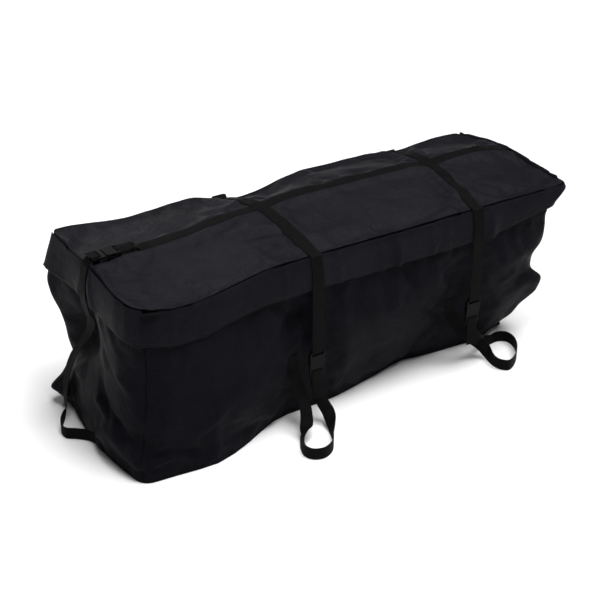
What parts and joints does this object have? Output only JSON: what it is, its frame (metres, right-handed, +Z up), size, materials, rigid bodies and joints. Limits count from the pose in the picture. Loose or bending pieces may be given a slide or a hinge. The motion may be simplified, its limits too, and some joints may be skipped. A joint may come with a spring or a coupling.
{
  "type": "cargo carrier bag",
  "caption": "Soft-sided box-shaped cargo bag for a roof rack or hitch carrier, with a zipped lid under a rain flap, over-straps with side-release buckles and tie-strap loops.",
  "frame": {"origin": "middle of the bottom panel's underside, on the floor", "axes": "+X along the bag from the left end seen from the front, -Y towards the front face, +Z up"},
  "size_m": [1.6247, 0.8818, 0.6043],
  "materials": {
    "coated_fabric": "coated polyester cloth, fine weave with a soft sheen",
    "base_fabric": "heavier coated cloth, matt",
    "webbing": "ribbed polypropylene webbing, matt",
    "buckle_plastic": "moulded acetal, satin",
    "zip_tape": "woven tape, matt",
    "zip_chain": "moulded teeth, satin",
    "zip_metal": "black enamel on zinc, satin"
  },
  "bodies": {
    "bag": {"front_panel": "coated_fabric", "back_panel": "coated_fabric", "left_end_panel": "coated_fabric", "right_end_panel": "coated_fabric", "lid_panel": "coated_fabric", "lid_gusset": "coated_fabric", "lid_flap": "coated_fabric", "bottom_panel": "base_fabric", "lengthwise_strap": "webbing", "cross_strap_left": "webbing", "cross_strap_right": "webbing", "tie_strap_front_left": "webbing", "tie_strap_front_right": "webbing", "tie_strap_back_left": "webbing", "tie_strap_back_right": "webbing", "tie_strap_left_end": "webbing", "tie_strap_right_end": "webbing", "buckle_socket_front_left": "buckle_plastic", "buckle_socket_front_right": "buckle_plastic", "buckle_socket_back_left": "buckle_plastic", "buckle_socket_back_right": "buckle_plastic", "buckle_socket_left_end": "buckle_plastic", "buckle_socket_right_end": "buckle_plastic", "zip_tape_body": "zip_tape", "zip_tape_lid": "zip_tape", "zip_chain": "zip_chain"},
    "zip_slider_left": {"zip_slider_left": "zip_metal"},
    "zip_pull_left": {"zip_pull_left": "zip_metal"},
    "zip_slider_right": {"zip_slider_right": "zip_metal"},
    "zip_pull_right": {"zip_pull_right": "zip_metal"},
    "plug_front_left": {"buckle_plug_front_left": "buckle_plastic"},
    "plug_front_right": {"buckle_plug_front_right": "buckle_plastic"},
    "plug_back_left": {"buckle_plug_back_left": "buckle_plastic"},
    "plug_back_right": {"buckle_plug_back_right": "buckle_plastic"},
    "plug_left_end": {"buckle_plug_left_end": "buckle_plastic"},
    "plug_right_end": {"buckle_plug_right_end": "buckle_plastic"}
  },
  "joints": [
    {"name": "zip_slide_left", "type": "slide", "parent": "bag", "child": "zip_slider_left", "axis": [-1, 0, 0], "range_m": [0, 0.42]},
    {"name": "pull_swing_left", "type": "hinge", "parent": "zip_slider_left", "child": "zip_pull_left", "pos_m": [-0.0065, -0.2753, 0.48], "axis": [-1, 0, 0], "range_deg": [0, 12]},
    {"name": "zip_slide_right", "type": "slide", "parent": "bag", "child": "zip_slider_right", "axis": [1, 0, 0], "range_m": [0, 0.42]},
    {"name": "pull_swing_right", "type": "hinge", "parent": "zip_slider_right", "child": "zip_pull_right", "pos_m": [0.0065, -0.2753, 0.48], "axis": [-1, 0, 0], "range_deg": [0, 12]},
    {"name": "unclip_front_left", "type": "slide", "parent": "bag", "child": "plug_front_left", "axis": [0, 0, -1], "range_m": [0, 0.03], "deforming": ["buckle_plug_front_left"]},
    {"name": "unclip_front_right", "type": "slide", "parent": "bag", "child": "plug_front_right", "axis": [0, 0, -1], "range_m": [0, 0.03], "deforming": ["buckle_plug_front_right"]},
    {"name": "unclip_back_left", "type": "slide", "parent": "bag", "child": "plug_back_left", "axis": [0, 0, -1], "range_m": [0, 0.03], "deforming": ["buckle_plug_back_left"]},
    {"name": "unclip_back_right", "type": "slide", "parent": "bag", "child": "plug_back_right", "axis": [0, 0, -1], "range_m": [0, 0.03], "deforming": ["buckle_plug_back_right"]},
    {"name": "unclip_left_end", "type": "slide", "parent": "bag", "child": "plug_left_end", "axis": [-1, 0, 0], "range_m": [0, 0.03], "deforming": ["buckle_plug_left_end"]},
    {"name": "unclip_right_end", "type": "slide", "parent": "bag", "child": "plug_right_end", "axis": [0, 0, -1], "range_m": [0, 0.03], "deforming": ["buckle_plug_right_end"]}
  ]
}
